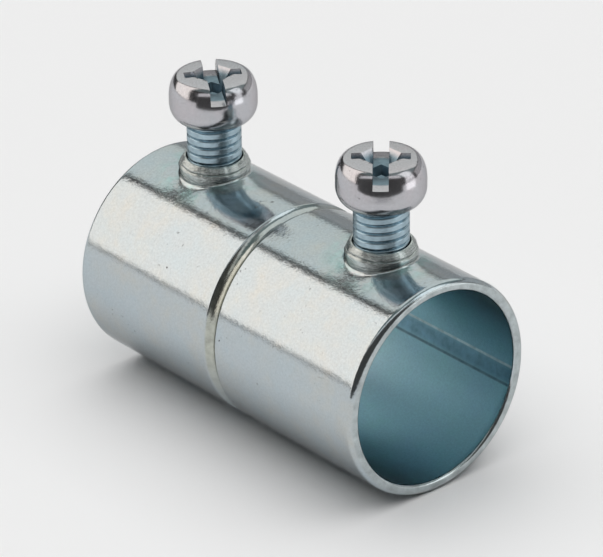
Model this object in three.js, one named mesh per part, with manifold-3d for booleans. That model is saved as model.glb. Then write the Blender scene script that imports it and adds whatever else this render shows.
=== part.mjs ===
// Steel set-screw coupling for 1/2 in EMT conduit, with its two set screws backed out.
// Millimetres, +Z up. +X runs along the bore toward the front end, the set screws stand
// along +Z, and the origin is on the bore axis at the middle of the length.
import * as THREE from 'three';
import { mergeVertices } from 'three/addons/utils/BufferGeometryUtils.js';
import Module from 'manifold-3d';

// Sleeve
const BORE_RADIUS = 9.15; // slips over conduit of 17.93 mm outside diameter
const WALL = 1.1;
const OUTER_RADIUS = BORE_RADIUS + WALL;
const LENGTH = 37.9;
const END_CHAMFER = 0.4; // outside edge of each end
const BORE_CHAMFER = 0.3; // inside edge of each end
const GROOVE_X = -0.2; // rolled groove around the sleeve, a little behind the middle
const GROOVE_WIDTH = 1.5;
const GROOVE_DEPTH = 0.45; // stands inward as the conduit stop
const WELD_ANGLE = -13.2; // degrees from +Y toward +Z, seen along the bore
const WELD_WIDTH = 1.7;
const WELD_HEIGHT = 0.12; // how far the scarfed seam stands into the bore

// Screw bosses, drawn up from the wall
const SCREW_X = 11.5; // distance of each screw axis from the middle
const COLLAR_RADIUS = 3.2;
const COLLAR_HEIGHT = 0.95; // above the crown of the sleeve
const LIP_HEIGHT = 1.75; // torn upper edge of the collar
const LIP_BASE_RADIUS = 3.15;
const LIP_TOP_RADIUS = 2.95;
const LIP_EDGE = 0.15; // its worn corner
const FLARE_RADIUS = 5.2; // where the flare around the collar runs out into the sleeve
const FLARE_HEIGHT = 0.3;
const ROOT_SINK = 0.7; // how far a boss reaches into the wall that it is joined to
const ENTRY_ROUND = 0.6; // rounded edge where the hole leaves the bore
const SEAM_OVERLAP = 0.02; // keeps the rim of the flare just under the sleeve's surface

// Set screws, M5 with a fillister head
const THREAD_RADIUS = 2.5;
const THREAD_PITCH = 0.8;
const THREAD_DEPTH = 0.49;
const ROOT_RADIUS = THREAD_RADIUS - THREAD_DEPTH;
const THREAD_FLAT = 0.12; // share of the pitch that each of crest and root takes
const CLEARANCE = 0.3; // between a screw and what it passes through
const HOLE_RADIUS = THREAD_RADIUS + CLEARANCE;
const HEAD_BASE_Z = 15.6; // underside of a head, above the bore axis
const HEAD_HEIGHT = 4.4;
const HEAD_RADIUS = 4.05;
const HEAD_CROWN = 0.1; // rise of the top face at its middle
const HEAD_TOP_RADIUS = 3.0; // where the top face turns into the rounded edge
const HEAD_TOP_ROUND = 2.1; // height of the upper rounding
const HEAD_BASE_RADIUS = 2.75; // where the underside turns into the lower rounding
const HEAD_BASE_ROUND = 1.7; // height of the lower rounding
const POINT_Z = 9.2; // tip of a screw
const POINT_HEIGHT = 0.8;
const POINT_FLAT_RADIUS = 1.5;
const POINT_CHAMFER = 0.5;

// Recess in the head: a slot right across, shorter cross arms and a deeper middle
const SLOT_WIDTH = 1.4;
const SLOT_DEPTH = 1.5;
const ARM_WIDTH = 1.15;
const ARM_REACH = 2.6;
const PIT_REACH = 2.3; // half diagonal of the four-sided pit at the top face
const PIT_FLOOR_REACH = 1.0;
const PIT_DEPTH = 2.3;

// Each screw: its place along the sleeve and how its slot is turned, in degrees from +X
const SCREWS = [
  { name: 'front', x: SCREW_X, slotAngle: -42 },
  { name: 'rear', x: -SCREW_X, slotAngle: -32 },
];

// How finely round shapes are divided
const SLEEVE_SIDES = 60;
const BOSS_SIDES = 32;
const HEAD_SIDES = 32;
const THREAD_SIDES = 10;
const STEPS_PER_TURN = 10;

const wasm = await Module();
wasm.setup();

/** A closed three.js geometry as a solid that can be joined and cut. */
function toSolid(geometry) {
  const bare = new THREE.BufferGeometry();
  bare.setAttribute('position', geometry.getAttribute('position'));
  bare.setIndex(geometry.getIndex());
  const merged = mergeVertices(bare, 1e-4);
  const corners = merged.getIndex().array;
  const triangles = [];
  for (let i = 0; i < corners.length; i += 3) {
    const [a, b, c] = corners.slice(i, i + 3);
    if (a !== b && b !== c && c !== a) triangles.push(a, b, c);
  }
  return new wasm.Manifold(new wasm.Mesh({
    numProp: 3,
    vertProperties: merged.getAttribute('position').array,
    triVerts: new Uint32Array(triangles),
  }));
}

/** A solid back as a three.js geometry. */
function toGeometry(solid) {
  const mesh = solid.getMesh();
  const geometry = new THREE.BufferGeometry();
  geometry.setAttribute('position', new THREE.BufferAttribute(mesh.vertProperties, 3));
  geometry.setIndex(new THREE.BufferAttribute(mesh.triVerts, 1));
  return geometry;
}

/** Points of a quarter ellipse from (x0, y0) to (x1, y1), leaving along X, without the first point. */
function quarterRound(x0, y0, x1, y1, steps) {
  const points = [];
  for (let i = 1; i <= steps; i++) {
    const turn = (Math.PI / 2) * (i / steps);
    points.push(new THREE.Vector2(
      x0 + (x1 - x0) * Math.sin(turn),
      y0 + (y1 - y0) * (1 - Math.cos(turn)),
    ));
  }
  return points;
}

/** The same arc walked the other way: from (x0, y0) to (x1, y1), arriving along X. */
function quarterRoundInto(x0, y0, x1, y1, steps) {
  const arc = [new THREE.Vector2(x1, y1), ...quarterRound(x1, y1, x0, y0, steps)];
  return arc.reverse().slice(1);
}

/** Turned around Z: a lathe profile of (radius, height) points, listed from the bottom up. */
function turned(profile, sides) {
  return new THREE.LatheGeometry(profile, sides).rotateX(Math.PI / 2);
}

/**
 * Stands a shape on a lying cylinder along X. Vertices lower than `limit` follow the curve of
 * the cylinder, and the others are measured from its crown.
 */
function drape(geometry, radius, limit) {
  const position = geometry.getAttribute('position');
  for (let i = 0; i < position.count; i++) {
    const height = position.getZ(i);
    const base = height < limit ? Math.sqrt(radius ** 2 - position.getY(i) ** 2) : radius;
    position.setZ(i, base + height);
  }
  return geometry;
}

/** Depth of the rolled groove at this distance from its middle: the section is an arc. */
function grooveDepth(distance) {
  const radius = ((GROOVE_WIDTH / 2) ** 2 + GROOVE_DEPTH ** 2) / (2 * GROOVE_DEPTH);
  return Math.sqrt(radius ** 2 - distance ** 2) - (radius - GROOVE_DEPTH);
}

function tubeSolid() {
  const end = LENGTH / 2;
  const outside = [
    new THREE.Vector2(OUTER_RADIUS - END_CHAMFER, -end),
    new THREE.Vector2(OUTER_RADIUS, -end + END_CHAMFER),
  ];
  const inside = [
    new THREE.Vector2(BORE_RADIUS + BORE_CHAMFER, -end),
    new THREE.Vector2(BORE_RADIUS, -end + BORE_CHAMFER),
  ];
  const steps = 8;
  for (let i = 0; i <= steps; i++) {
    const distance = GROOVE_WIDTH * (i / steps - 0.5);
    const x = GROOVE_X + distance;
    outside.push(new THREE.Vector2(OUTER_RADIUS - grooveDepth(distance), x));
    inside.push(new THREE.Vector2(BORE_RADIUS - grooveDepth(distance), x));
  }
  outside.push(new THREE.Vector2(OUTER_RADIUS, end - END_CHAMFER));
  outside.push(new THREE.Vector2(OUTER_RADIUS - END_CHAMFER, end));
  inside.push(new THREE.Vector2(BORE_RADIUS, end - BORE_CHAMFER));
  inside.push(new THREE.Vector2(BORE_RADIUS + BORE_CHAMFER, end));
  const profile = [...outside, ...inside.reverse(), outside[0].clone()];
  const tube = new THREE.LatheGeometry(profile, SLEEVE_SIDES);
  return toSolid(tube.rotateZ(-Math.PI / 2));
}

/** Scarfed weld seam: a low flat strip along the inside of the wall. */
function weldSolid() {
  const strip = new THREE.BoxGeometry(LENGTH - 2 * BORE_CHAMFER, WALL / 2 + WELD_HEIGHT, WELD_WIDTH);
  strip.translate(0, BORE_RADIUS + (WALL / 2 - WELD_HEIGHT) / 2, 0);
  return toSolid(strip.rotateX(THREE.MathUtils.degToRad(WELD_ANGLE)));
}

/** Boss with its flare, collar and torn lip, standing on the sleeve's crown at X = 0. */
function bossSolid() {
  const profile = [
    new THREE.Vector2(0, -ROOT_SINK),
    new THREE.Vector2(FLARE_RADIUS, -ROOT_SINK),
    new THREE.Vector2(FLARE_RADIUS, -SEAM_OVERLAP),
    ...quarterRound(FLARE_RADIUS, -SEAM_OVERLAP, COLLAR_RADIUS, FLARE_HEIGHT, 6),
    new THREE.Vector2(COLLAR_RADIUS, COLLAR_HEIGHT),
    new THREE.Vector2(LIP_BASE_RADIUS, COLLAR_HEIGHT),
    new THREE.Vector2(LIP_TOP_RADIUS + LIP_EDGE / 2, LIP_HEIGHT - LIP_EDGE),
    new THREE.Vector2(LIP_TOP_RADIUS, LIP_HEIGHT),
    new THREE.Vector2(0, LIP_HEIGHT),
  ];
  const limit = (FLARE_HEIGHT + COLLAR_HEIGHT) / 2;
  return toSolid(drape(turned(profile, BOSS_SIDES), OUTER_RADIUS, limit));
}

/** The hole through a boss, with the rounded edge that drawing leaves on the bore side. */
function holeSolid() {
  const mouth = HOLE_RADIUS + ENTRY_ROUND;
  const profile = [
    new THREE.Vector2(0, -WALL),
    new THREE.Vector2(mouth, -WALL),
    new THREE.Vector2(mouth, 0),
    ...quarterRound(mouth, 0, HOLE_RADIUS, ENTRY_ROUND, 4),
    new THREE.Vector2(HOLE_RADIUS, 2 * WALL + LIP_HEIGHT),
    new THREE.Vector2(0, 2 * WALL + LIP_HEIGHT),
  ];
  return toSolid(drape(turned(profile, BOSS_SIDES), BORE_RADIUS, WALL));
}

function sleeveGeometry() {
  let sleeve = tubeSolid().add(weldSolid());
  for (const screw of SCREWS) {
    sleeve = sleeve.add(bossSolid().translate([screw.x, 0, 0]));
    sleeve = sleeve.subtract(holeSolid().translate([screw.x, 0, 0]));
  }
  return toGeometry(sleeve);
}

function headSolid() {
  const top = HEAD_BASE_Z + HEAD_HEIGHT;
  const shoulder = top - HEAD_TOP_ROUND;
  const profile = [
    new THREE.Vector2(0, HEAD_BASE_Z),
    new THREE.Vector2(HEAD_BASE_RADIUS, HEAD_BASE_Z),
    ...quarterRound(HEAD_BASE_RADIUS, HEAD_BASE_Z, HEAD_RADIUS, HEAD_BASE_Z + HEAD_BASE_ROUND, 5),
    new THREE.Vector2(HEAD_RADIUS, shoulder),
    ...quarterRoundInto(HEAD_RADIUS, shoulder, HEAD_TOP_RADIUS, top, 5),
    new THREE.Vector2(0, top + HEAD_CROWN),
  ];
  return toSolid(turned(profile, HEAD_SIDES));
}

function recessSolid() {
  const top = HEAD_BASE_Z + HEAD_HEIGHT;
  const above = 1; // the cutters reach this far over the head
  const cutHeight = SLOT_DEPTH + above;
  const cutMiddle = top - SLOT_DEPTH + cutHeight / 2;
  const slot = new THREE.BoxGeometry(3 * HEAD_RADIUS, SLOT_WIDTH, cutHeight).translate(0, 0, cutMiddle);
  const arms = new THREE.BoxGeometry(ARM_WIDTH, 2 * ARM_REACH, cutHeight).translate(0, 0, cutMiddle);
  const taper = (PIT_REACH - PIT_FLOOR_REACH) / PIT_DEPTH;
  const pit = new THREE.CylinderGeometry(PIT_REACH + taper * above, PIT_FLOOR_REACH, PIT_DEPTH + above, 4);
  pit.rotateX(Math.PI / 2).translate(0, 0, top + (above - PIT_DEPTH) / 2);
  return toSolid(slot).add(toSolid(arms)).add(toSolid(pit));
}

/** Threaded shank: the thread's cross-section, twisted by one turn for each pitch of height. */
function threadSolid(bottom, top) {
  const section = new THREE.Shape();
  for (let i = 0; i < THREAD_SIDES; i++) {
    const turn = i / THREAD_SIDES;
    const flank = (1 - Math.abs(2 * turn - 1) - THREAD_FLAT) / (1 - 2 * THREAD_FLAT);
    const ridge = THREE.MathUtils.clamp(flank, 0, 1);
    const radius = ROOT_RADIUS + THREAD_DEPTH * ridge;
    const angle = 2 * Math.PI * turn;
    const point = [radius * Math.cos(angle), radius * Math.sin(angle)];
    if (i === 0) section.moveTo(...point);
    else section.lineTo(...point);
  }
  section.closePath();
  const height = top - bottom;
  const steps = Math.round((height / THREAD_PITCH) * STEPS_PER_TURN);
  const thread = new THREE.ExtrudeGeometry(section, { depth: height, steps, bevelEnabled: false });
  const position = thread.getAttribute('position');
  const spot = new THREE.Vector3();
  const up = new THREE.Vector3(0, 0, 1);
  for (let i = 0; i < position.count; i++) {
    spot.fromBufferAttribute(position, i);
    spot.applyAxisAngle(up, (2 * Math.PI * spot.z) / THREAD_PITCH);
    position.setXYZ(i, spot.x, spot.y, spot.z + bottom);
  }
  return toSolid(mergeVertices(thread.deleteAttribute('normal').deleteAttribute('uv')));
}

/** The turning part of a screw, with its slot along X. */
function screwGeometry() {
  const bottom = POINT_Z + POINT_HEIGHT + CLEARANCE;
  const shank = threadSolid(bottom, HEAD_BASE_Z + CLEARANCE);
  return toGeometry(headSolid().subtract(recessSolid()).add(shank));
}

/** The point of a screw, which only slides here because it looks the same however it is turned. */
function pointGeometry() {
  const profile = [
    new THREE.Vector2(0, POINT_Z),
    new THREE.Vector2(POINT_FLAT_RADIUS, POINT_Z),
    new THREE.Vector2(ROOT_RADIUS, POINT_Z + POINT_CHAMFER),
    new THREE.Vector2(ROOT_RADIUS, POINT_Z + POINT_HEIGHT),
    new THREE.Vector2(0, POINT_Z + POINT_HEIGHT),
  ];
  return toGeometry(toSolid(turned(profile, HEAD_SIDES)));
}

/** A named mesh with a material of its own. */
function piece(name, geometry, color, roughness) {
  const material = new THREE.MeshStandardMaterial({ color, roughness, metalness: 1 });
  const mesh = new THREE.Mesh(geometry, material);
  mesh.name = name;
  return mesh;
}

const coupling = new THREE.Group();
coupling.add(piece('sleeve', sleeveGeometry(), 0xc4c9cb, 0.32));
for (const screw of SCREWS) {
  const seat = new THREE.Group();
  seat.position.x = screw.x;
  seat.rotation.z = THREE.MathUtils.degToRad(screw.slotAngle);
  seat.add(piece(`${screw.name}_screw`, screwGeometry(), 0xa9b0ba, 0.22));
  seat.add(piece(`${screw.name}_screw_point`, pointGeometry(), 0xa9b0ba, 0.3));
  coupling.add(seat);
}

export default coupling;
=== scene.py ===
"""Looks of a zinc-plated steel set-screw coupling for conduit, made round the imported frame."""

import math
import bmesh
import bpy
import numpy as np
from mathutils import Matrix, Vector


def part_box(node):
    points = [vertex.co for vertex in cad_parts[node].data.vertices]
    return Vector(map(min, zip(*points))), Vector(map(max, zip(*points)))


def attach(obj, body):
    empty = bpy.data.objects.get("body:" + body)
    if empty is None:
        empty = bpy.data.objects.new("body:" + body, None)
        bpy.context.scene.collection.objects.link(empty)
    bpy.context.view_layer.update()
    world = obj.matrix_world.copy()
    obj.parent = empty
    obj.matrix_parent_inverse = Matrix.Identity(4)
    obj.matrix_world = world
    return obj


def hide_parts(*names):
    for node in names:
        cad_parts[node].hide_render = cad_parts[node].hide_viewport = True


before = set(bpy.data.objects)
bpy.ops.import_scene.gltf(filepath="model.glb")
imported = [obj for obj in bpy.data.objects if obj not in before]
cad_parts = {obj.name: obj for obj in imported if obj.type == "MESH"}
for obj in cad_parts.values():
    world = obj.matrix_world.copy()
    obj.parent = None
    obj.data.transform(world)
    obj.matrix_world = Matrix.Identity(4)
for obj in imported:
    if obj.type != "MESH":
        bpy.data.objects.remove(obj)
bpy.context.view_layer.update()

MM = 0.001  # the meshes are worked out in millimetres and stored in metres

# Sizes of the frame, in millimetres
sleeve_low, sleeve_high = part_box("sleeve")
OUTER = sleeve_high.y / MM
HALF_LENGTH = sleeve_high.x / MM
LIP_TOP = sleeve_high.z / MM
FLOOR_Z = sleeve_low.z
SCREW_X = {end: sum(v.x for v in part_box(f"{end}_screw_point")) / 2 / MM for end in ("front", "rear")}
TIP_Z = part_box("front_screw_point")[0].z / MM

# Sleeve
WALL = 1.1
BORE = OUTER - WALL
END_ROUND = 0.55
BORE_ROUND = 0.3
END_STEPS = 9
BORE_STEPS = 5
GROOVE_X = -0.2
GROOVE_WIDTH = 1.5
GROOVE_DEPTH = 0.45
GROOVE_EASE = 0.08  # rounds the edges of the groove
WELD_ANGLE = -13.2
WELD_HALF_WIDTH = 0.84
WELD_HEIGHT = 0.04
WELD_RUN_OUT = 1.2  # length over which the weld's flat fades at each end

# Screw bosses
COLLAR = 3.2
FLARE = 5.2
FLARE_HEIGHT = 0.3
HOLE = 2.58
TAPPED_DEPTH = 0.22  # depth of the thread cut in the hole
MOUTH = 3.3
PATCH = 5.7  # half width of the square of the tube's surface that each boss is worked into

# Screws
THREAD = 2.5
PITCH = 0.8
THREAD_DEPTH = 0.24
FLANK = 0.42  # share of half a turn over which the thread rises to its crest
HEAD_BASE = 15.6
HEAD_HEIGHT = 4.4
HEAD_RADIUS = 4.04
HEAD_CROWN = 0.06
HEAD_TOP_RADIUS = 3.0
HEAD_TOP_ROUND = 2.1
HEAD_BASE_RADIUS = 2.75
HEAD_BASE_ROUND = 1.7
SLOT_WIDTH = 1.4
SLOT_DEPTH = 1.5
ARM_WIDTH = 1.15
ARM_REACH = 2.6
PIT_REACH = 2.3
PIT_FLOOR_REACH = 1.0
PIT_DEPTH = 2.3
WORN_EDGE = 0.06
SLOT_ANGLE = {"front": -42.0, "rear": -32.0}

# How finely the meshes are divided
SIDES = 252
SCREW_SIDES = 128


# ---------------------------------------------------------------- mesh helpers

def make_mesh(name, points, faces):
    """A mesh object from points in millimetres, with the faces turned outward and unused points dropped."""
    used = sorted({i for face in faces for i in face})
    place = {old: new for new, old in enumerate(used)}
    mesh = bpy.data.meshes.new(name)
    mesh.from_pydata([tuple(points[i] * MM) for i in used], [], [[place[i] for i in f] for f in faces])
    mesh.update()
    obj = bpy.data.objects.new(name, mesh)
    bpy.context.scene.collection.objects.link(obj)
    bm = bmesh.new()
    bm.from_mesh(mesh)
    bmesh.ops.recalc_face_normals(bm, faces=bm.faces)
    bm.to_mesh(mesh)
    bm.free()
    return obj


def shade_smooth(obj, angle):
    """Smooth shading, with an edge kept sharp where it turns by more than `angle` degrees."""
    obj.data.shade_smooth()
    obj.data.set_sharp_from_angle(angle=math.radians(angle))


def quarter(x0, y0, x1, y1, steps):
    """Quarter ellipse from (x0, y0), leaving along x, to (x1, y1), without its first point."""
    turns = [0.5 * math.pi * i / steps for i in range(1, steps + 1)]
    return [(x0 + (x1 - x0) * math.sin(t), y0 + (y1 - y0) * (1 - math.cos(t))) for t in turns]


def quarter_into(x0, y0, x1, y1, steps):
    """Quarter ellipse from (x0, y0) to (x1, y1), arriving along x, without its first point."""
    back = [(x1, y1)] + quarter(x1, y1, x0, y0, steps)
    return back[::-1][1:]


def ripple(angles, rng, waves):
    """A closed uneven line: a sum of waves, given as (count round the circle, height)."""
    total = np.zeros_like(angles)
    for count, height in waves:
        total += height * np.sin(count * angles + rng.uniform(0, 2 * math.pi))
    return total


# ---------------------------------------------------------------- sleeve

def groove(x):
    """Depth of the rolled groove at x: an arc, with its edges eased into the wall."""
    half = GROOVE_WIDTH / 2
    away = np.abs(x - GROOVE_X)
    radius = (half ** 2 + GROOVE_DEPTH ** 2) / (2 * GROOVE_DEPTH)
    arc = np.sqrt(np.maximum(radius ** 2 - away ** 2, 0)) - (radius - GROOVE_DEPTH)
    return np.where(away < 1.5 * half, 0.5 * (arc + np.sqrt(arc ** 2 + GROOVE_EASE ** 2 / 4)), 0.0)


def stations():
    """Where the sleeve is divided along its length, from the rear to the front."""
    near, far = SCREW_X["front"] - PATCH, SCREW_X["front"] + PATCH
    marks = [0.0, GROOVE_WIDTH / 2 + 0.4, near, far, HALF_LENGTH - END_ROUND]
    x = [0.0]
    for start, end, count in zip(marks, marks[1:], (24, 12, 28, 5)):
        x += list(np.linspace(start, end, count + 1)[1:])
    return np.array([-v for v in x[:0:-1]] + x)


def bore_radius(x, angle):
    """Radius of the bore, with the scarfed weld seam as a flat along it that runs out at the ends."""
    turn = angle - math.radians(WELD_ANGLE)
    turn = (turn + np.pi) % (2 * np.pi) - np.pi
    half_turn = WELD_HALF_WIDTH / BORE
    flat = (BORE - WELD_HEIGHT) / np.cos(np.clip(turn, -half_turn, half_turn))
    run_out = np.clip((HALF_LENGTH - END_ROUND - np.abs(x)) / WELD_RUN_OUT, 0, 1)
    radius = np.where(np.abs(turn) <= half_turn + 1e-6, BORE + (flat - BORE) * run_out, BORE)
    return radius - groove(x)


def flare(distance):
    """How far the wall is raised at this distance from a screw's axis."""
    rise = np.clip((FLARE - distance) / (FLARE - COLLAR), 0, 1)
    return FLARE_HEIGHT * (1 - np.sqrt(1 - rise ** 2))


def collar_rings(angles, foot, sill, rng):
    """Rings of points (radius, height) up the collar, over its torn lip and down the tapped hole."""
    lip = ripple(angles, rng, [(2, 0.04), (3, 0.03), (5, 0.03), (9, 0.02), (17, 0.012)])
    tear = ripple(angles, rng, [(4, 0.02), (7, 0.02), (13, 0.018), (29, 0.012), (37, 0.008)])
    swell = ripple(angles, rng, [(2, 0.02), (3, 0.02), (6, 0.015), (23, 0.008)])
    shape = [  # radius beyond the collar's, height over the sleeve's crown, share of each unevenness
        (0.07, 0.66, 0.5, 0.0, 1.0),
        (0.06, 0.78, 0.5, 0.2, 1.0),
        (0.00, 0.88, 0.6, 0.4, 1.0),
        (-0.09, 0.94, 0.8, 0.6, 0.8),
        (-0.16, 0.97, 1.0, 0.8, 0.6),
        (-0.09, 1.05, 0.8, 0.9, 0.3),
        (-0.08, 1.16, 0.9, 1.0, 0.2),
        (-0.15, 1.27, 1.0, 1.0, 0.0),
        (-0.21, 1.33, 1.0, 1.1, 0.0),
        (-0.23, 1.40, 0.7, 1.0, 0.0),
        (-0.34, 1.52, 0.8, 1.0, 0.0),
        (-0.38, 1.57, 0.8, 1.0, 0.0),
        (-0.48, 1.63, 0.5, 0.8, 0.0),
    ]
    rings = [
        (COLLAR + 0.005 + 0 * angles, foot + 0.03),
        (COLLAR + 0.04 + 0.3 * swell, foot + 0.1),
    ]
    for out, rise, torn, lipped, swollen in shape:
        radius = COLLAR + out + torn * tear + swollen * swell
        height = OUTER + rise + lipped * lip + 0.3 * swollen * swell
        rings.append((radius, np.maximum(height, foot + 0.1 + 0.15 * rise)))
    rings.append((HOLE + 0.06 + 0 * angles, LIP_TOP - 0.12 + 0.6 * lip))
    rings.append((HOLE + 0 * angles, LIP_TOP - 0.24 + 0.5 * lip))
    top = LIP_TOP - 0.34
    for height in np.arange(top, BORE + 0.62, -PITCH / 10):
        turn = height / PITCH - angles / (2 * math.pi)
        ridge = 1 - np.abs(2 * (turn % 1) - 1)
        fade = np.clip((top - height) / PITCH, 0, 1)
        rings.append((HOLE + TAPPED_DEPTH * ridge * fade, height + 0 * angles))
    for radius, rise in quarter_into(HOLE, 0.6, MOUTH, 0.0, 8):
        rings.append((radius + 0 * angles, sill(radius) + rise))
    return rings


def directions():
    """Angles round the bore axis, drawn together where the edges of the weld seam run."""
    angles = 2 * math.pi * np.arange(SIDES) / SIDES
    for edge in (-1, 1):
        turn = (math.radians(WELD_ANGLE) + edge * WELD_HALF_WIDTH / BORE) % (2 * math.pi)
        middle = int(np.argmin(np.abs(angles - turn)))
        for k in (-1, 0, 1):
            angles[middle + k] = turn + k * math.radians(0.3)
    return angles


def build_sleeve():
    """The sleeve as one closed shell: rows of points round the tube, with the two bosses worked into them."""
    x = stations()
    angles = directions()
    rows = []  # (x, radius at each angle), once round the tube's wall
    for sx in x:
        rows.append((sx, OUTER - groove(sx) + 0 * angles))
    outer_row = list(range(len(x)))
    for inset, drop in quarter(0.0, 0.0, END_ROUND, END_ROUND, END_STEPS):
        rows.append((HALF_LENGTH - END_ROUND + inset, OUTER - drop + 0 * angles))
    rows.append((HALF_LENGTH, BORE + BORE_ROUND + 0 * angles))
    for drop, inset in quarter(0.0, 0.0, BORE_ROUND, BORE_ROUND, BORE_STEPS):
        rows.append((HALF_LENGTH - inset, BORE + BORE_ROUND - drop + 0 * angles))
    bore_x = x[np.abs(x) < HALF_LENGTH - END_ROUND - 1e-6]
    bore_row = {}
    for sx in bore_x[::-1]:
        bore_row[round(float(sx), 6)] = len(rows)
        rows.append((sx, bore_radius(sx, angles)))
    for inset, drop in quarter(0.0, 0.0, BORE_ROUND, BORE_ROUND, BORE_STEPS):
        rows.append((-HALF_LENGTH + BORE_ROUND - inset, BORE + drop + 0 * angles))
    for drop, inset in quarter(0.0, 0.0, END_ROUND, END_ROUND, END_STEPS):
        rows.append((-HALF_LENGTH + inset, OUTER - END_ROUND + drop + 0 * angles))
    rows.pop()  # the last point of that round is the first row

    points = []
    for row_x, radius in rows:
        points.append(np.stack([row_x + 0 * angles, radius * np.cos(angles), radius * np.sin(angles)], 1))
    points = list(np.concatenate(points))

    # The squares of the grid that the bosses take the place of
    top = SIDES // 4
    reach = round(math.degrees(math.asin(PATCH / OUTER)) * SIDES / 360)
    columns = list(range(top - reach, top + reach + 1))
    holes = {}
    for end, screw_x in SCREW_X.items():
        first = int(np.argmin(np.abs(x - (screw_x - PATCH))))
        last = int(np.argmin(np.abs(x - (screw_x + PATCH))))
        holes[end] = list(range(first, last + 1))
    skipped = set()
    for span in holes.values():
        for a, b in zip(span, span[1:]):
            low, high = sorted((bore_row[round(float(x[a]), 6)], bore_row[round(float(x[b]), 6)]))
            for column in columns[:-1]:
                skipped.add((outer_row[a], column))
                skipped.add((low, column))

    faces = []
    for row in range(len(rows)):
        after = (row + 1) % len(rows)
        for column in range(SIDES):
            if (row, column) in skipped:
                continue
            side = (column + 1) % SIDES
            faces.append((row * SIDES + column, row * SIDES + side, after * SIDES + side, after * SIDES + column))

    for end, span in holes.items():
        outline = [(i, columns[0]) for i in span]
        outline += [(span[-1], c) for c in columns[1:]]
        outline += [(i, columns[-1]) for i in span[-2::-1]]
        outline += [(span[0], c) for c in columns[-2:0:-1]]
        outside = [outer_row[i] * SIDES + c for i, c in outline]
        inside = [bore_row[round(float(x[i]), 6)] * SIDES + c for i, c in outline]
        add_boss(points, faces, outside, inside, SCREW_X[end], np.random.default_rng(len(end)))
    obj = make_mesh("plated_sleeve", points, faces)
    shade_smooth(obj, 50)
    return obj


def add_boss(points, faces, outside, inside, screw_x, rng):
    """Works a boss into the tube between a loop of points outside it and the matching loop in the bore."""
    edge = np.array([points[i] for i in outside])
    under = np.array([points[i] for i in inside])
    along, across = edge[:, 0] - screw_x, edge[:, 1]
    angles = np.arctan2(across, along)
    spread = np.hypot(along, across)
    cos, sin = np.cos(angles), np.sin(angles)

    def ring(radius, height):
        return np.stack([screw_x + radius * cos, radius * sin, height + 0 * angles], 1)

    def crown(radius, of):
        return np.sqrt(of ** 2 - (radius * sin) ** 2)

    loops = []
    for t in np.linspace(0, 1, 7)[1:]:
        radius = spread * (1 - t) + FLARE * t
        loops.append(ring(radius, crown(radius, OUTER)))
    for t in np.linspace(0, 1, 19)[1:]:
        radius = FLARE - (FLARE - COLLAR) * math.sin(0.5 * math.pi * t)
        loops.append(ring(radius, crown(radius, OUTER) + flare(radius)))
    foot = crown(COLLAR, OUTER) + FLARE_HEIGHT
    for radius, height in collar_rings(angles, foot, lambda r: crown(r, BORE), rng):
        loops.append(ring(radius, height))
    under_spread = np.hypot(under[:, 0] - screw_x, under[:, 1])
    for t in np.linspace(0, 1, 9)[1:-1]:
        radius = MOUTH * (1 - t) + under_spread * t
        loops.append(ring(radius, crown(radius, BORE)))

    count = len(outside)
    before = list(outside)
    for loop in loops:
        start = len(points)
        points.extend(loop)
        here = list(range(start, start + count))
        for i in range(count):
            j = (i + 1) % count
            faces.append((before[i], before[j], here[j], here[i]))
        before = here
    for i in range(count):
        j = (i + 1) % count
        faces.append((before[i], before[j], inside[j], inside[i]))


# ---------------------------------------------------------------- screws

def turned(name, profile, sides, wobble=None):
    """A closed shape turned round Z from (radius, height) points, the first and last on the axis."""
    angles = 2 * math.pi * np.arange(sides) / sides
    points = [np.array([0.0, 0.0, profile[0][1]]), np.array([0.0, 0.0, profile[-1][1]])]
    rings = profile[1:-1]
    for radius, height in rings:
        r = radius + (wobble(radius, height, angles) if wobble else 0 * angles)
        points.extend(np.stack([r * np.cos(angles), r * np.sin(angles), height + 0 * angles], 1))
    faces = []
    for k in range(len(rings) - 1):
        for i in range(sides):
            j = (i + 1) % sides
            a, b = 2 + k * sides, 2 + (k + 1) * sides
            faces.append((a + i, a + j, b + j, b + i))
    last = 2 + (len(rings) - 1) * sides
    for i in range(sides):
        j = (i + 1) % sides
        faces.append((0, 2 + j, 2 + i))
        faces.append((1, last + i, last + j))
    return make_mesh(name, points, faces)


def build_shank():
    """Threaded shank with a chamfered tip."""
    root = THREAD - THREAD_DEPTH
    start, stop = TIP_Z + 0.35, HEAD_BASE - 0.15
    profile = [(0, TIP_Z), (0.8, TIP_Z), (1.55, TIP_Z), (1.62, TIP_Z + 0.03), (1.9, TIP_Z + 0.3)]
    profile += [(root, h) for h in np.arange(start, stop, PITCH / 20)]
    profile += [(root + 0.1, stop + 0.05), (root + 0.3, HEAD_BASE + 0.02), (root + 0.3, HEAD_BASE + 0.5)]
    profile += [(0, HEAD_BASE + 0.5)]

    def wobble(radius, height, angles):
        if not start <= height <= stop:
            return 0 * angles
        turn = height / PITCH - angles / (2 * math.pi)
        flank = 1 - np.abs(2 * (turn % 1) - 1)
        fade = min(1, (height - start) / PITCH)
        return THREAD_DEPTH * fade * np.sin(0.5 * math.pi * np.clip(flank / FLANK, 0, 1))

    return turned("shank", profile, SCREW_SIDES, wobble)


def box_mesh(name, size, centre):
    """A plain box."""
    points, faces = [], []
    bm = bmesh.new()
    bmesh.ops.create_cube(bm, size=1.0)
    for v in bm.verts:
        points.append(np.array([v.co[k] * size[k] + centre[k] for k in range(3)]))
    for f in bm.faces:
        faces.append(tuple(v.index for v in f.verts))
    bm.free()
    return make_mesh(name, points, faces)


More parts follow.
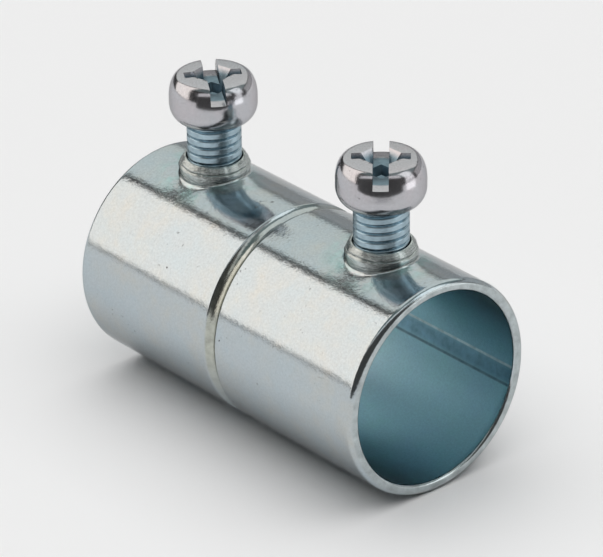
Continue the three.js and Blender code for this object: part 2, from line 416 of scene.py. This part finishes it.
def pit_mesh(top):
    """Four-sided tapering pit with its corners along X and Y."""
    above = 1.0
    taper = (PIT_REACH - PIT_FLOOR_REACH) / PIT_DEPTH
    floor, rim = (PIT_FLOOR_REACH, top - PIT_DEPTH), (PIT_REACH + taper * above, top + above)
    return turned("pit", [(0, floor[1] - 0.25), floor, rim, (0, rim[1])], 4)


def apply_modifiers(obj):
    """Replaces an object's mesh with what its modifiers make of it."""
    graph = bpy.context.evaluated_depsgraph_get()
    mesh = bpy.data.meshes.new_from_object(obj.evaluated_get(graph))
    obj.modifiers.clear()
    obj.data = mesh


def combine(obj, other, operation="DIFFERENCE"):
    """Cuts one closed shape out of another, or joins the two as one with "UNION"."""
    boolean = obj.modifiers.new("combine", "BOOLEAN")
    boolean.operation = operation
    boolean.solver = "EXACT"
    boolean.object = other
    bpy.context.view_layer.update()
    apply_modifiers(obj)
    bpy.data.objects.remove(other)


def build_head():
    """Rounded head with a slot, two shorter arms across it and a tapering pit in the middle."""
    top = HEAD_BASE + HEAD_HEIGHT
    shoulder = top - HEAD_TOP_ROUND
    profile = [(0, HEAD_BASE), (1.2, HEAD_BASE), (2.4, HEAD_BASE), (HEAD_BASE_RADIUS, HEAD_BASE)]
    profile += quarter(HEAD_BASE_RADIUS, HEAD_BASE, HEAD_RADIUS, HEAD_BASE + HEAD_BASE_ROUND, 20)
    for height in np.linspace(HEAD_BASE + HEAD_BASE_ROUND, shoulder, 4)[1:-1]:
        profile.append((HEAD_RADIUS, height))
    profile.append((HEAD_RADIUS, shoulder))
    profile += quarter_into(HEAD_RADIUS, shoulder, HEAD_TOP_RADIUS, top, 24)
    for t in np.linspace(0, 1, 10)[1:-1]:
        profile.append((HEAD_TOP_RADIUS * (1 - t), top + HEAD_CROWN * (1 - (1 - t) ** 2)))
    profile.append((0, top + HEAD_CROWN))
    head = turned("head", profile, SCREW_SIDES)
    height = SLOT_DEPTH + 1.0
    middle = (0, 0, top - SLOT_DEPTH + height / 2)
    combine(head, box_mesh("slot", (4 * HEAD_RADIUS, SLOT_WIDTH, height), middle))
    combine(head, box_mesh("arms", (ARM_WIDTH, 2 * ARM_REACH, height), middle))
    combine(head, pit_mesh(top))
    bevel = head.modifiers.new("worn edges", "BEVEL")
    bevel.width = WORN_EDGE * MM
    bevel.segments = 2
    bevel.limit_method = "ANGLE"
    bevel.angle_limit = math.radians(35)
    bpy.context.view_layer.update()
    apply_modifiers(head)
    return head


def build_screw(end):
    """One whole screw, turned and placed as it stands at rest."""
    screw = build_head()
    combine(screw, build_shank(), "UNION")
    screw.name = screw.data.name = f"plated_{end}_screw"
    screw.data.transform(Matrix.Rotation(math.radians(SLOT_ANGLE[end]), 4, "Z"))
    screw.data.transform(Matrix.Translation((SCREW_X[end] * MM, 0, 0)))
    shade_smooth(screw, 38)
    return screw


# ---------------------------------------------------------------- materials

class Nodes:
    """A short way to write a node tree."""

    def __init__(self, name):
        self.material = bpy.data.materials.new(name)
        self.material.use_nodes = True
        self.tree = self.material.node_tree
        self.shader = self.tree.nodes["Principled BSDF"]

    def add(self, kind, **settings):
        node = self.tree.nodes.new(kind)
        inputs = settings.pop("inputs", {})
        for key, value in settings.items():
            setattr(node, key, value)
        for key, value in inputs.items():
            self.feed(node.inputs[key], value)
        return node

    def feed(self, socket, value):
        if isinstance(value, bpy.types.NodeSocket):
            self.tree.links.new(value, socket)
        else:
            socket.default_value = value

    def place(self, scale):
        """Object coordinates stretched by a factor along each axis."""
        where = self.add("ShaderNodeTexCoord").outputs["Object"]
        return self.add("ShaderNodeMapping", inputs={"Vector": where, "Scale": scale}).outputs["Vector"]

    def along(self, axis):
        """One of the object coordinates, in metres."""
        where = self.add("ShaderNodeTexCoord").outputs["Object"]
        return self.add("ShaderNodeSeparateXYZ", inputs={"Vector": where}).outputs[axis]

    def noise(self, scale, detail, rough, stretch=(1, 1, 1)):
        inputs = {"Vector": self.place(stretch), "Scale": scale, "Detail": detail, "Roughness": rough}
        return self.add("ShaderNodeTexNoise", inputs=inputs).outputs["Fac"]

    def steps(self, value, low, high, to_low=0.0, to_high=1.0):
        """An even change as the value goes from low to high, and no change beyond them."""
        inputs = {"Value": value, "From Min": low, "From Max": high, "To Min": to_low, "To Max": to_high}
        return self.add("ShaderNodeMapRange", inputs=inputs).outputs["Result"]

    def mix(self, factor, a, b, blend="MIX"):
        node = self.add("ShaderNodeMix", data_type="RGBA", blend_type=blend)
        self.feed(node.inputs[0], factor)
        self.feed(node.inputs[6], a)
        self.feed(node.inputs[7], b)
        return node.outputs[2]

    def math(self, operation, a, b=0.0):
        node = self.add("ShaderNodeMath", operation=operation)
        self.feed(node.inputs[0], a)
        self.feed(node.inputs[1], b)
        return node.outputs[0]


def zinc(name, base, warm, cool, rough, grain, speckle, regions=()):
    """Bright zinc plate: faint tints, uneven haze, fine orange peel and small dark specks.

    `rough` is the least and greatest roughness, `grain` the relief in mm. Each region is a function
    that gives its mask, with the colour, roughness and extra relief that the plate has there, and how
    far that relief is drawn together along each axis. The colours of the recess and of the lines beside
    the weld's flat are painted shade and a painted highlight, not the plate's own colour.
    """
    n = Nodes(name)
    tint = n.mix(n.steps(n.noise(230, 4, 0.6), 0.38, 0.62), (*warm, 1), (*cool, 1))
    colour = n.mix(n.steps(n.noise(620, 5, 0.6), 0.3, 0.7), tint, (*base, 1))
    colour = n.mix(1.0, colour, n.steps(n.noise(5200, 3, 0.6), 0.25, 0.75, 0.90, 1.08), "MULTIPLY")
    specks = n.steps(n.noise(1900, 2, 0.5), 0.68, 0.76)
    patches = n.steps(n.noise(200, 3, 0.5), 0.50, 0.66)
    dirt = n.math("MULTIPLY", n.math("MULTIPLY", specks, patches), speckle)
    colour = n.mix(dirt, colour, (0.10, 0.10, 0.10, 1))
    roughness = n.steps(n.noise(900, 5, 0.65), 0.3, 0.7, *rough)
    roughness = n.math("ADD", roughness, n.math("MULTIPLY", dirt, 0.3))
    peel = n.noise(2600, 2, 0.5, (1.3, 0.8, 0.8))
    waves = n.math("MULTIPLY", n.noise(300, 2, 0.5), 1.5)
    pits = n.math("MULTIPLY", n.noise(8000, 2, 0.6), 0.5)
    height = n.math("ADD", n.math("ADD", peel, waves), pits)
    for mask_of, region_colour, region_rough, region_grain, stretch in regions:
        mask = mask_of(n)
        shade = n.steps(n.noise(1200, 4, 0.6), 0.3, 0.7, 0.75, 1.15)
        # Each region's colour, varied at random; for the recess and the weld's edge lines it is painted shade and a
        # painted highlight
        tone_and_painted_light = n.mix(1.0, (*region_colour, 1), shade, "MULTIPLY")
        colour = n.mix(mask, colour, tone_and_painted_light)
        change = n.math("SUBTRACT", region_rough, roughness)
        roughness = n.math("ADD", roughness, n.math("MULTIPLY", mask, change))
        torn = n.math("MULTIPLY", n.noise(2000, 4, 0.65, stretch), region_grain)
        height = n.math("ADD", height, n.math("MULTIPLY", mask, torn))
    relief = n.add("ShaderNodeBump", inputs={"Strength": 1.0, "Distance": grain * MM, "Height": height})
    n.shader.inputs["Metallic"].default_value = 1.0
    n.shader.inputs["Specular Tint"].default_value = (0.62, 0.62, 0.62, 1)  # dulls the plate where seen at a slant
    n.feed(n.shader.inputs["Base Color"], colour)
    n.feed(n.shader.inputs["Roughness"], roughness)
    n.feed(n.shader.inputs["Normal"], relief.outputs["Normal"])
    return n.material


def in_groove(n):
    """Mask of the rolled groove, fading toward its top and its foot."""
    away = n.math("ABSOLUTE", n.math("SUBTRACT", n.along("X"), GROOVE_X * MM))
    inside = n.steps(away, 0.52 * GROOVE_WIDTH * MM, 0.44 * GROOVE_WIDTH * MM)
    over = n.steps(n.along("Z"), 10.5 * MM, 7.0 * MM)
    under = n.steps(n.along("Z"), -8.0 * MM, -1.0 * MM)
    return n.math("MULTIPLY", inside, n.math("MULTIPLY", over, under))


def on_rim(n):
    """Mask of the flat faces of the two ends."""
    return n.steps(n.math("ABSOLUTE", n.along("X")), (HALF_LENGTH - 0.1) * MM, (HALF_LENGTH - 0.02) * MM)


def from_screw(n):
    """Distance from the axis of the nearer screw, in metres."""
    along = n.math("SUBTRACT", n.math("ABSOLUTE", n.along("X")), SCREW_X["front"] * MM)
    return n.math("SQRT", n.math("ADD", n.math("POWER", along, 2.0), n.math("POWER", n.along("Y"), 2.0)))


def round_collar(n):
    """Mask of patches on the drawn-up metal round both collars."""
    near = n.steps(from_screw(n), (FLARE + 0.6) * MM, (COLLAR + 0.6) * MM)
    broken = n.steps(n.noise(500, 4, 0.6), 0.42, 0.60)
    over = n.steps(n.along("Z"), (OUTER - 3.0) * MM, (OUTER - 1.0) * MM)
    return n.math("MULTIPLY", n.math("MULTIPLY", near, over), broken)


def on_collar(n):
    """Mask of the torn metal of both collars."""
    near = n.steps(from_screw(n), (COLLAR + 0.14) * MM, (COLLAR + 0.04) * MM)
    return n.math("MULTIPLY", near, n.steps(n.along("Z"), (OUTER - 0.4) * MM, OUTER * MM))


def on_shank(n):
    """Mask of a screw's thread, below its head."""
    return n.steps(n.along("Z"), (HEAD_BASE + 0.5) * MM, (HEAD_BASE + 0.1) * MM)


def recess_painted_shade(n):
    """Mask of the painted shade in the slot, the arms and the pit of a screw's head, and of all that lies below them.
    """
    inside = n.steps(from_screw(n), (HEAD_TOP_RADIUS - 0.1) * MM, (HEAD_TOP_RADIUS - 0.4) * MM)
    top = HEAD_BASE + HEAD_HEIGHT
    return n.math("MULTIPLY", inside, n.steps(n.along("Z"), (top - 0.1) * MM, (top - 0.6) * MM))


def at_weld(angle, spread):
    """A function that gives the mask of a line along the bore, at an angle and half its width in degrees."""
    def mask(n):
        turn = n.math("ARCTAN2", n.along("Z"), n.along("Y"))
        away = n.math("ABSOLUTE", n.math("SUBTRACT", turn, math.radians(angle)))
        return n.steps(away, math.radians(spread), math.radians(0.4 * spread))
    return mask


def matt(name, grey):
    """A plain grey without gloss, for the set."""
    n = Nodes(name)
    n.shader.inputs["Base Color"].default_value = (grey, grey, grey, 1)
    n.shader.inputs["Roughness"].default_value = 0.9
    return n.material


# ---------------------------------------------------------------- the pieces

sleeve = build_sleeve()
EVEN = (1, 1, 1)
ROUND_X = (4, 0.3, 0.3)  # marks that run round the bore
ROUND_Z = (0.4, 0.4, 3.5)  # marks that run round a screw
sleeve.data.materials.append(zinc(
    "zinc_sleeve", (0.49, 0.545, 0.575), (0.53, 0.55, 0.535), (0.475, 0.55, 0.59), (0.07, 0.13), 0.010, 0.9,
    [(round_collar, (0.42, 0.58, 0.58), 0.15, 0.5, EVEN), (in_groove, (0.47, 0.49, 0.44), 0.18, 2.0, ROUND_X),
     (on_rim, (0.48, 0.53, 0.54), 0.22, 1.5, EVEN), (on_collar, (0.52, 0.56, 0.55), 0.17, 9.0, ROUND_Z)]))
sleeve.data.materials.append(zinc(
    "zinc_bore", (0.49, 0.66, 0.72), (0.47, 0.67, 0.69), (0.48, 0.64, 0.73), (0.30, 0.36), 0.004, 0.1,
    [(at_weld(WELD_ANGLE, 6.5), (0.35, 0.49, 0.58), 0.36, 0.5, EVEN),
     # Two thin lines at the edges of the weld's flat: a painted highlight along one edge and a painted shade line
     # along the other
     (at_weld(WELD_ANGLE + 5.2, 1.1), (0.90, 0.95, 0.96), 0.50, 0.5, EVEN),
     (at_weld(WELD_ANGLE - 5.8, 1.1), (0.27, 0.35, 0.39), 0.40, 0.5, EVEN)]))
for face in sleeve.data.polygons:
    x, y, z = face.center / MM
    if math.hypot(y, z) < BORE + 0.02 and abs(x) < HALF_LENGTH - BORE_ROUND:
        face.material_index = 1
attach(sleeve, "sleeve")
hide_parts("sleeve")

# The dark colour in the slot, the arms and the pit is painted shade. The thread's region comes last, because the mask
# of the painted recess shade reaches down over it
screw_zinc = zinc(
    "zinc_screw", (0.51, 0.51, 0.535), (0.53, 0.505, 0.53), (0.50, 0.515, 0.55), (0.12, 0.19), 0.004, 0.6,
    [(recess_painted_shade, (0.20, 0.28, 0.33), 0.28, 1.0, EVEN), (on_shank, (0.38, 0.50, 0.57), 0.27, 0.5, EVEN)])
for end in ("front", "rear"):
    screw = build_screw(end)
    screw.data.materials.append(screw_zinc)
    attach(screw, f"{end}_screw_turning")
    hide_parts(f"{end}_screw", f"{end}_screw_point")


# ---------------------------------------------------------------- floor, light and camera

def softbox(name, position, width, height, radiance, target=(0, 0, 0), in_metal=True):
    """A soft rectangular light that faces the target and shows either in the metal alone or on the floor alone."""
    data = bpy.data.lights.new(name, "AREA")
    data.shape = "RECTANGLE"
    data.size, data.size_y = width, height
    data.energy = radiance * math.pi * width * height
    light = bpy.data.objects.new(name, data)
    bpy.context.scene.collection.objects.link(light)
    light.location = position
    light.rotation_euler = (Vector(target) - Vector(position)).to_track_quat("-Z", "Y").to_euler()
    light.visible_camera = False
    light.visible_glossy = in_metal
    light.visible_diffuse = not in_metal
    return light


def strip(name, low, high, start, end, radiance, colour, distance=0.5):
    """A soft panel along the sleeve, seen from it between two angles round the X axis (0 is +Y, 90 is up)."""
    turn = math.radians((low + high) / 2)
    width = 2 * distance * math.tan(math.radians((high - low) / 2))
    side, back = Vector((1, 0, 0)), Vector((0, math.cos(turn), math.sin(turn)))
    light = softbox(name, (start + end) / 2 * side + distance * back, end - start, width, radiance)
    light.data.color = colour
    light.rotation_euler = Matrix((side, back.cross(side), back)).transposed().to_euler()


def staged(name, corners, material):
    """A flat sheet of the set, which belongs to the floor and the light and not to the coupling."""
    mesh = bpy.data.meshes.new(name)
    mesh.from_pydata(corners, [], [(0, 1, 2, 3)])
    mesh.materials.append(material)
    sheet = bpy.data.objects.new(name, mesh)
    bpy.context.scene.collection.objects.link(sheet)
    return sheet


REACH = 3.0
STUDIO = (0.82, 0.82, 0.82)
under = FLOOR_Z - 0.00005
staged("floor", [(-REACH, -REACH, under), (REACH, -REACH, under), (REACH, REACH, under), (-REACH, REACH, under)],
       matt("pale_floor", 0.86))

# Evenly pale walls, which only the camera sees, for the views from low down; farther ones would be clipped there
WALLS = 1.4
pale = matt("pale_wall", 0.0)
for name, value in (("Specular IOR Level", 0.0), ("Emission Color", (*STUDIO, 1)), ("Emission Strength", 1.0)):
    pale.node_tree.nodes["Principled BSDF"].inputs[name].default_value = value
pale.cycles.emission_sampling = "NONE"
wall_corners = ((WALLS, -WALLS, under), (WALLS, WALLS, under), (WALLS, WALLS, WALLS), (WALLS, -WALLS, WALLS))
for side in range(4):
    turn = Matrix.Rotation(math.radians(90 * side), 3, "Z")
    wall = staged(f"wall_{side}", [turn @ Vector(corner) for corner in wall_corners], pale)
    wall.visible_diffuse = wall.visible_glossy = wall.visible_transmission = wall.visible_shadow = False

# A grey card on the camera's side darkens what the near faces reflect; it casts no shadow
toward = Vector((0.766, -0.643, 0.0))
across = Vector((0.643, 0.766, 0.0))
card_corners = ((-0.06, 0.0), (0.06, 0.0), (0.06, 0.08), (-0.06, 0.08))
card = staged("grey_card", [0.05 * toward + side * across + Vector((0, 0, level)) for side, level in card_corners],
              matt("grey_card", 0.1))
card.visible_camera = card.visible_diffuse = card.visible_shadow = False

# Panels for the metal: first those along the sleeve, then those at its front end and in front of the card's top
strip("front_panel", 101.2, 178.0, -1.3, -0.17, 1.40, (1.0, 0.925, 0.86))
strip("top_panel", 29.0, 94.6, -1.3, 0.10, 0.86, (0.97, 1.0, 0.96))
strip("top_end", 29.0, 94.6, 0.10, 0.70, 0.24, (0.80, 1.0, 1.0))
strip("camera_side", 96.0, 126.0, -0.17, 0.5, 0.15, (0.72, 1.0, 1.0))
strip("back_panel", -2.0, 26.0, -1.3, 0.30, 0.44, (1.0, 1.0, 1.0))
softbox("right_panel", (0.41, 0.30, 0.33), 0.24, 0.45, 1.05)
softbox("right_patch", (0.084, 0.051, 0.016), 0.045, 0.046, 0.85, (0.0115, 0, 0.016))
above = Vector((0, 0, 0.064))
softbox("card_top", 0.047 * toward + above, 0.12, 0.03, 0.70, above)
softbox("floor_fill", (0.0, 0.0, 1.5), 3.0, 3.0, 1.6623, in_metal=False)

world = bpy.data.worlds.new("studio")
world.use_nodes = True
world.node_tree.nodes["Background"].inputs["Color"].default_value = (*STUDIO, 1)
world.node_tree.nodes["Background"].inputs["Strength"].default_value = 0.07
bpy.context.scene.world = world

# The camera looks from the photograph's side: angles in degrees, distances in metres
AZIMUTH, ELEVATION, ROLL = 49.95, 27.41, -0.83
DISTANCE = 0.41
AIM_RIGHT, AIM_UP = 0.00030, 0.00318
LENS = 270.3

azimuth, elevation, roll = (math.radians(v) for v in (AZIMUTH, ELEVATION, ROLL))
back = Vector((math.sin(azimuth) * math.cos(elevation), -math.cos(azimuth) * math.cos(elevation), math.sin(elevation)))
right = Vector((math.cos(azimuth), math.sin(azimuth), 0))
up = back.cross(right)
rolled_right = math.cos(roll) * right + math.sin(roll) * up
rolled_up = math.cos(roll) * up - math.sin(roll) * right
camera = bpy.data.objects.new("camera", bpy.data.cameras.new("camera"))
camera.data.lens = LENS
camera.data.sensor_width = 36.0
camera.data.clip_start, camera.data.clip_end = 0.01, 20
turn = Matrix((rolled_right, rolled_up, back)).transposed().to_4x4()
place = AIM_RIGHT * rolled_right + AIM_UP * rolled_up + DISTANCE * back
camera.matrix_world = Matrix.Translation(place) @ turn
bpy.context.scene.collection.objects.link(camera)
bpy.context.scene.camera = camera
bpy.context.scene.view_settings.view_transform = "Standard"
